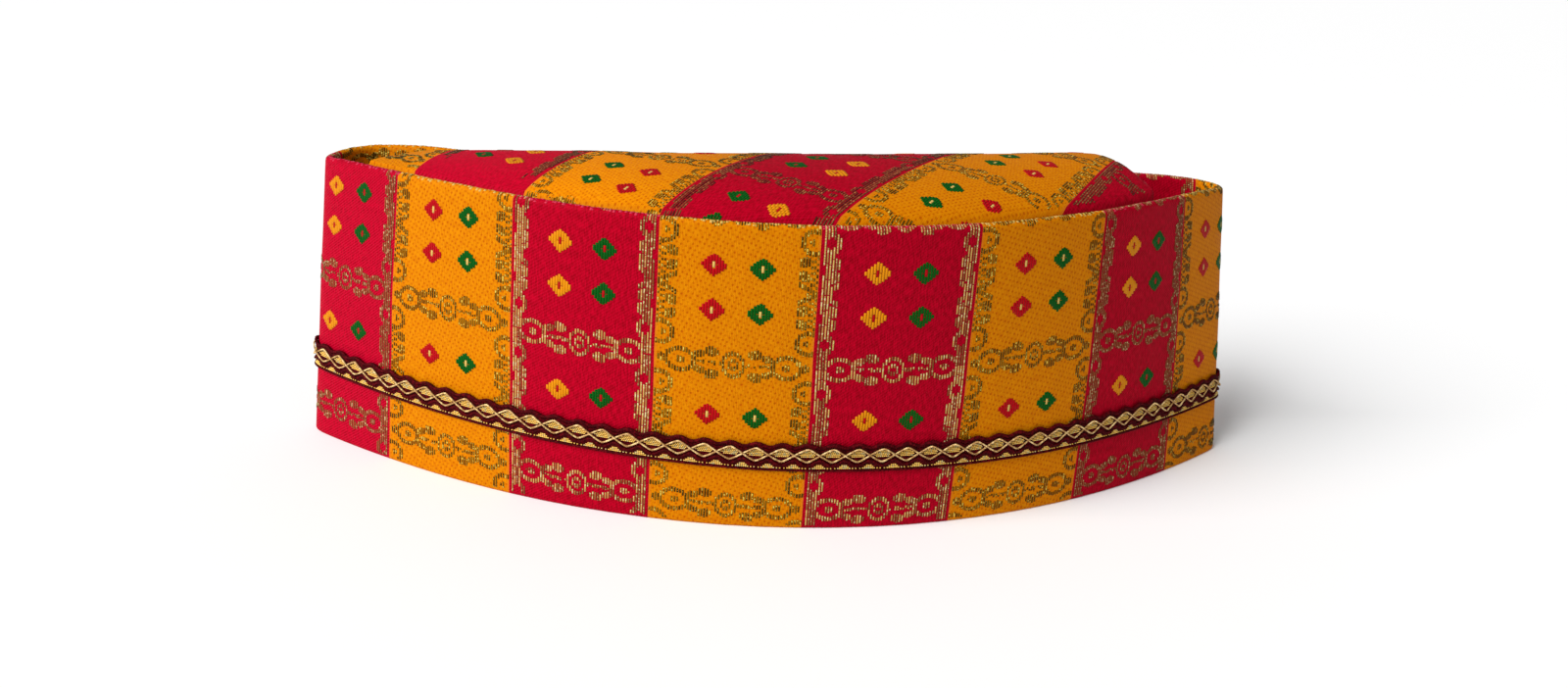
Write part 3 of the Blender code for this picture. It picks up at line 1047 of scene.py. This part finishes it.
def silkMaterial():
    material, tree, inputs = newMaterial("silkThread", 0.5, Specular_IOR_Level=silk["specular"])
    hue, tone, rise = attributes(tree, "hue", "tone", "rise")
    colour = silk["green"]
    for number, name in enumerate(("red", "yellow", "paleAndFoldSheen", "foldSheenPink")):
        colour = mixColour(tree, ramp(tree, hue, number + 0.4, number + 0.6), colour, silk[name])
    # Painted shade and light: a float's foot is painted darker and its top lighter; its tone adds a
    # random change.
    paintedShadeAndTone = plus(tree, silk["paintedShadeAndTone"], times(tree, rise, silk["riseGain"]))
    paintedShadeAndTone = plus(tree, paintedShadeAndTone, times(tree, tone, silk["toneGain"]))
    tree.links.new(vectorMath(tree, "SCALE", colour, paintedShadeAndTone), inputs["Base Color"])
    return material


print("weaving the ornament")
brocadeCloth = brocadeMaterial()
for thing in (bandCloth, crownCloth):
    thing.data.materials.clear()
    thing.data.materials.append(brocadeCloth)
silkThread = silkMaterial()
floats = floatsTree()
threadPieces = {}
for kind, label, onWall, onTop in (
        ("gold", "Zari", zariMaterial("zariThread"), zariMaterial("shadedZariThread", **shaded)),
        ("silk", "Diamonds", silkThread, silkThread)):
    found = bandThreads(kind)
    starts, normals = onBand(found[:, 0], found[:, 1], ornament["lift"], drifting=True)
    ends, others = onBand(found[:, 0], found[:, 2], ornament["lift"], drifting=True)
    threadPieces["band" + label] = weave("band" + label, onWall, ornament[kind], starts, ends,
                                         normals + others, found[:, 3], found[:, 4])
    found = crownThreads(kind)
    normals = found[:, 6:9]
    lift = normals / np.linalg.norm(normals, axis=1, keepdims=True) * ornament["lift"] * mm
    threadPieces["crown" + label] = weave("crown" + label, onTop, ornament[kind], found[:, :3] + lift,
                                          found[:, 3:6] + lift, normals, found[:, 9], found[:, 10])


braid = {
    "width": 8.0,
    "tapeWall": 0.55,
    "repeats": 88,
    "stepsInRepeat": 12,
    "goldRadius": 0.27,
    "maroonRadius": 0.52,
    "waveRadius": 0.42,
    "edgeRadius": 0.36,
    "zigzagHeight": 0.75,     # of the zigzags' middle over the braid's middle
    "zigzagReach": 1.75,
    "sharpness": 0.985,       # of the zigzags' corners
    "straightness": 0.75,
    "bead": (0.38, 0.34, 0.6),      # width, height, and how much of its width the top keeps
    "beadLength": 0.44,
    # roughness, specular level, specks for each metre, where they begin and end, dark and light
    "maroon": (0.7, 0.06, 1400.0, 0.4, 0.7, seen(70, 0, 6), seen(120, 6, 20)),
    "gold": (0.45, 0.3, 900.0, 0.42, 0.66, (0.44, 0.23, 0.07), (0.90, 0.64, 0.28)),
    "goldMesh": {"onRed": (0.98, 0.62, 0.14), "onRedDull": (0.74, 0.42, 0.07),
                 "paintedShadeRed": (0.36, 0.16, 0.03)},
}
halfBraid = braid["width"] / 2


def cordTree():
    # A cord of several plies along a closed line.
    tree, given = newTree("twistedCord", ("Line", "Geometry"), ("Cord Radius", "Float"),
                          ("Groove Share", "Float"), ("Plies", "Int"), ("Turn Per Metre", "Float"))
    curve, length, tilt, star, body = (tree.nodes.new("GeometryNode" + kind) for kind in (
        "MeshToCurve", "SplineParameter", "SetCurveTilt", "CurveStar", "CurveToMesh"))
    groove = times(tree, given["Cord Radius"], given["Groove Share"])
    turn = times(tree, length.outputs["Length"], given["Turn Per Metre"])
    join(tree, (turn, tilt.inputs["Tilt"]), (given["Plies"], star.inputs["Points"]),
         (given["Cord Radius"], star.inputs["Outer Radius"]), (groove, star.inputs["Inner Radius"]),
         (star.outputs["Curve"], body.inputs["Profile Curve"]))
    return finishTree(tree, given, through(tree, given["Line"], curve, tilt, body))


def closedLine(name, u, down, lift):
    points, _ = onBand(u, braidDown(u) + down, lift)
    count = len(points)
    return newMesh(name, points, edges=[(i, (i + 1) % count) for i in range(count)])


def cordMaterial(name, roughness, specular, grain, low, high, dark, light):
    material, tree, inputs = newMaterial(name, roughness, Specular_IOR_Level=specular)
    grains = ramp(tree, speckle(tree, ownPlace(tree), grain), low, high)
    tree.links.new(mixColour(tree, grains, dark, light), inputs["Base Color"])
    return material


def braidBeads():
    # The gold mesh inside each diamond, the triangles between them and the dashes at the foot.
    chance = np.random.default_rng(29)
    size = braid["beadLength"]
    spots = []
    for across in np.arange(-2.2, 2.3, 0.5):
        for down in np.arange(-1.35, 1.4, 0.45):
            shifted = across + (0.25 if round(down / 0.45) % 2 else 0.0)
            if abs(shifted) / 2.6 + abs(down) / 1.5 < 0.97 and down < 0.6:
                spots.append((shifted, down - braid["zigzagHeight"], size, 1.0))
    pitch = cloth["roundTheCap"] / braid["repeats"]
    for across in np.arange(-1.5, 1.6, 0.5):
        for row, down in enumerate((2.95, 2.55, 2.15)):
            if abs(across) < 1.75 - row * 0.6:
                spots.append((pitch / 2 + across, down, size, 0.8))
    spots += [(pitch / 2 + across, 3.0, 0.36, 0.5) for across in (-2.3, 2.3, 3.1)]
    spots += [((dash + 0.5) * pitch / 4, halfBraid - 0.35, 0.7, 0.25) for dash in range(4)]
    rows = []
    for repeat in range(braid["repeats"]):
        for across, down, length, tone in spots:
            u = bandU[0] + repeat * pitch + across
            rows.append((u - length / 2, u + length / 2, braidDown(u) + down,
                         tone * chance.uniform(0.35, 1.0)))
    rows = np.array(rows)
    lift = braid["tapeWall"] + 0.12
    starts, normals = onBand(rows[:, 0], rows[:, 2], lift)
    ends, others = onBand(rows[:, 1], rows[:, 2], lift)
    return weave("braid.goldMesh", zariMaterial("braidGold", **braid["goldMesh"]), braid["bead"],
                 starts, ends, normals + others, np.zeros(len(rows)), rows[:, 3])


def makeTape():
    # The braid's flat ground, following the band.
    wall = braid["tapeWall"]
    profile = [(-halfBraid + 1.25, 0.05), (-halfBraid + 1.1, 0.35), (-halfBraid + 1.5, wall),
               (0.0, wall + 0.1), (halfBraid - 0.6, wall), (halfBraid - 0.2, 0.35),
               (halfBraid - 0.35, 0.05)]
    columns = bandU[:-1]
    rings = [onBand(columns, braidDown(columns) + down, lift)[0] for down, lift in profile[::-1]]
    mesh = newMesh("braidTape", np.concatenate(rings), ringFaces(len(rings), len(columns)))
    mesh.shade_smooth()
    mesh.materials.append(maroonCord)
    return inScene("braidTape", mesh)


print("sewing on the braid")
maroonCord = cordMaterial("maroonCord", *braid["maroon"])
goldCord = cordMaterial("goldCord", *braid["gold"])
cords = cordTree()
steps = braid["repeats"] * braid["stepsInRepeat"]
turnShare = np.arange(steps) / steps
cordU = bandU[0] + turnShare * cloth["roundTheCap"]
phase = turnShare * braid["repeats"]
swing = np.cos(2 * np.pi * phase)
crossing = np.cos(np.pi * phase)            # each cord is above one diamond and below the next
straight, sharp = braid["straightness"], braid["sharpness"]
zigzag = straight * np.arcsin(sharp * crossing) / np.arcsin(sharp) + (1 - straight) * crossing
over = 0.2 * np.sin(np.pi * phase)
zero = np.zeros(steps)
# plies, how deep the grooves between them go, and the turning for each metre
goldTwist, maroonTwist, edgeTwist = (2, 0.85, 3200.0), (3, 0.75, 2600.0), (3, 0.8, 2600.0)
# material, radius, twist, and the way down from the braid's middle and out from the band
lines = {
    "goldUpper": (goldCord, braid["goldRadius"], goldTwist,
                  -braid["zigzagHeight"] - braid["zigzagReach"] * zigzag, 1.2 + over),
    "goldLower": (goldCord, braid["goldRadius"], goldTwist,
                  -braid["zigzagHeight"] + braid["zigzagReach"] * zigzag, 1.2 - over),
    "maroonScallop": (maroonCord, braid["maroonRadius"], maroonTwist,
                      -halfBraid + 0.85 - 0.45 * swing, 0.75 + zero),
    "maroonInner": (maroonCord, braid["waveRadius"], maroonTwist,
                    -halfBraid + 1.55 - 0.75 * swing, 0.62 + zero),
    "maroonWave": (maroonCord, braid["waveRadius"], maroonTwist, 1.5 + 0.75 * swing, 0.80 + zero),
    "maroonEdge": (maroonCord, braid["edgeRadius"], edgeTwist, halfBraid - 0.35 + zero, 0.66 + zero),
}
braidPieces = [grown("braid." + name, closedLine(name, cordU, down, lift), cords, material,
                     Cord_Radius=radius * mm, Groove_Share=groove, Plies=plies * 2,
                     Turn_Per_Metre=turning)
               for name, (material, radius, (plies, groove, turning), down, lift) in lines.items()]
braidPieces.append(braidBeads())
braidTape = makeTape()


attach(bandCloth, "root")
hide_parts("cuff_band")
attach(crownCloth, "root")
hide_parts("crown")
for name, piece in threadPieces.items():
    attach(piece, "root")
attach(braidTape, "root")
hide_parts("braid_trim")
for piece in braidPieces:
    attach(piece, "root")


studio = {
    "floorHalf": 40.0,
    "floorColour": (0.97, 0.97, 0.97, 1.0),
    "worldColour": (1.0, 1.0, 1.0, 1.0),
    "worldStrength": 0.33,
    "keyAzimuth": 62.0,       # degrees to the left of the front
    "keyElevation": 36.0,
    "keySoftness": 40.0,
    "keyStrength": 4.0,
    "cameraPlace": (-0.03317, -0.30479, 0.15524),
    "cameraYaw": 0.099,
    "cameraPitch": 0.371,
    "cameraRoll": 0.069,
    "lens": 27.09,
}


def setStudio():
    reach = studio["floorHalf"]
    floor = inScene("floor", newMesh(
        "floor", [(-reach, -reach, 0), (reach, -reach, 0), (reach, reach, 0), (-reach, reach, 0)],
        [(0, 1, 2, 3)]))
    floor.data.materials.append(newMaterial("paleFloor", 0.8, Base_Color=studio["floorColour"])[0])
    world = bpy.data.worlds.new("studioAir")
    world.use_nodes = True
    air = world.node_tree.nodes["Background"].inputs
    air["Color"].default_value = studio["worldColour"]
    air["Strength"].default_value = studio["worldStrength"]
    bpy.context.scene.world = world
    lamp = bpy.data.lights.new("key", "SUN")
    lamp.energy = studio["keyStrength"]
    lamp.angle = math.radians(studio["keySoftness"])
    side, rise = math.radians(studio["keyAzimuth"]), math.radians(studio["keyElevation"])
    aim = Vector((math.sin(side) * math.cos(rise), math.cos(side) * math.cos(rise), -math.sin(rise)))
    inScene("key", lamp).rotation_euler = aim.to_track_quat("-Z", "Y").to_euler()


def setCamera():
    yaw, pitch, roll = studio["cameraYaw"], studio["cameraPitch"], studio["cameraRoll"]
    c, s, cp, sp = math.cos(yaw), math.sin(yaw), math.cos(pitch), math.sin(pitch)
    right = Vector((c, -s, 0.0))
    ahead = Vector((s * cp, c * cp, -sp))
    up = Vector((s * sp, c * sp, cp))
    turnedRight = math.cos(roll) * right + math.sin(roll) * up
    turnedUp = math.cos(roll) * up - math.sin(roll) * right
    camera = bpy.data.cameras.new("photoView")
    camera.lens = studio["lens"]
    camera.sensor_width = 36.0
    holder = inScene("photoView", camera)
    place = Matrix((turnedRight, turnedUp, -ahead)).transposed().to_4x4()
    place.translation = Vector(studio["cameraPlace"])
    holder.matrix_world = place
    bpy.context.scene.camera = holder


print("lighting the studio")
setStudio()
setCamera()
